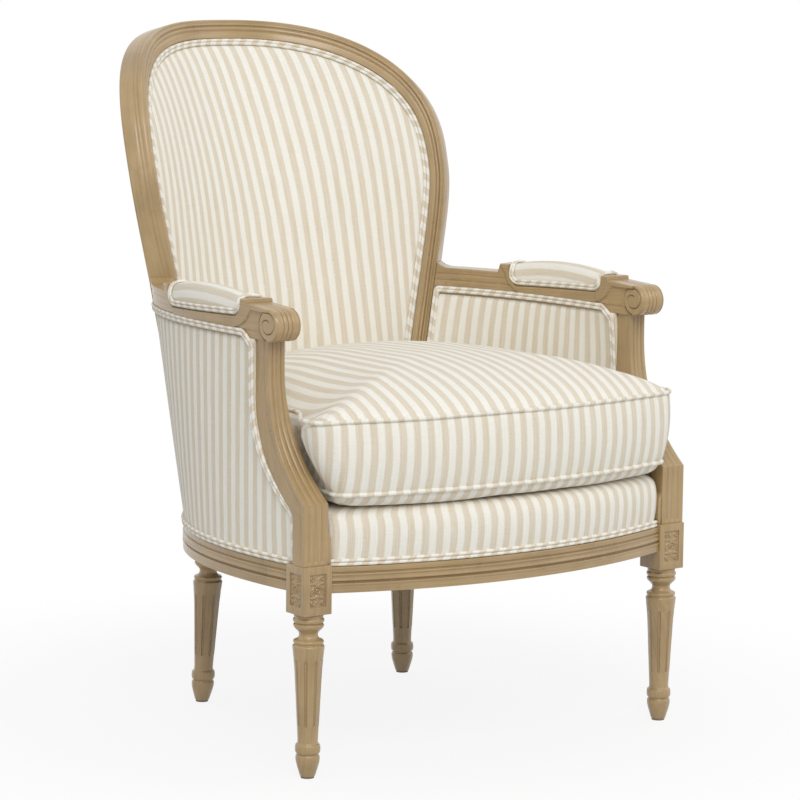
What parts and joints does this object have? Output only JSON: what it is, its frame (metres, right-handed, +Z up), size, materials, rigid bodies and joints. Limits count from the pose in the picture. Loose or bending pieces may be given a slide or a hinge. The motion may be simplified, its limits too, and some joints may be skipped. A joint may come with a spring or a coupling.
{
  "type": "bergere armchair",
  "caption": "Bergere armchair with a painted turned-leg frame, closed upholstered arms, balloon back, scrolled arm rests with pads and a loose seat cushion.",
  "frame": {"origin": "bottom centre of the bounding box, at floor level under the middle of the chair", "axes": "+X to the right as seen from the front, +Y to the back, +Z up"},
  "size_m": [0.6854, 0.8242, 1.0103],
  "materials": {
    "frame_paint": "taupe satin paint over carved hardwood, rubbed, with darker grooves",
    "bare_wood": "planed beech, unfinished, out of sight",
    "fabric": "slubby linen with off-white and beige stripes of equal width",
    "welts": "welt cord covered in the striped linen, cut across the stripe",
    "webbing": "woven jute webbing",
    "dust_cloth": "thin dark lining cloth",
    "glides": "matt nylon glides"
  },
  "bodies": {
    "chair_frame": {"front_leg_right": "frame_paint", "front_leg_left": "frame_paint", "back_leg_right": "frame_paint", "back_leg_left": "frame_paint", "front_glide_right": "glides", "front_glide_left": "glides", "back_glide_right": "glides", "back_glide_left": "glides", "front_seat_rail": "frame_paint", "side_seat_rail_right": "frame_paint", "side_seat_rail_left": "frame_paint", "back_seat_rail": "frame_paint", "front_corner_block_right": "bare_wood", "front_corner_block_left": "bare_wood", "back_corner_block_right": "bare_wood", "back_corner_block_left": "bare_wood", "arm_support_right": "frame_paint", "arm_support_left": "frame_paint", "arm_rest_right": "frame_paint", "arm_rest_left": "frame_paint", "arm_tack_rail_right": "bare_wood", "arm_tack_rail_left": "bare_wood", "back_crest_rail": "frame_paint", "back_stile_right": "frame_paint", "back_stile_left": "frame_paint", "back_bottom_rail": "bare_wood", "webbing_strap_1": "webbing", "webbing_strap_2": "webbing", "webbing_strap_3": "webbing", "webbing_strap_4": "webbing", "webbing_cross_strap_1": "webbing", "webbing_cross_strap_2": "webbing", "webbing_cross_strap_3": "webbing", "dust_cover": "dust_cloth", "seat_deck": "fabric", "front_border_welt": "welts", "inside_back_pad": "fabric", "inside_back_welt": "welts", "outside_back_cover": "fabric", "outside_back_welt": "welts", "inside_arm_pad_right": "fabric", "inside_arm_pad_left": "fabric", "inside_arm_welt_right": "welts", "inside_arm_welt_left": "welts", "outside_arm_cover_right": "fabric", "outside_arm_cover_left": "fabric", "outside_arm_welt_right": "welts", "outside_arm_welt_left": "welts", "arm_pad_right": "fabric", "arm_pad_left": "fabric", "arm_pad_welt_right": "welts", "arm_pad_welt_left": "welts"},
    "seat_cushion": {"seat_cushion": "fabric", "cushion_bottom_welt": "welts", "cushion_top_welt": "welts"}
  },
  "joints": [
    {"name": "seat_cushion_lift", "type": "slide", "parent": "chair_frame", "child": "seat_cushion", "axis": [0, 0, 1], "range_m": [0, 0.66]}
  ]
}
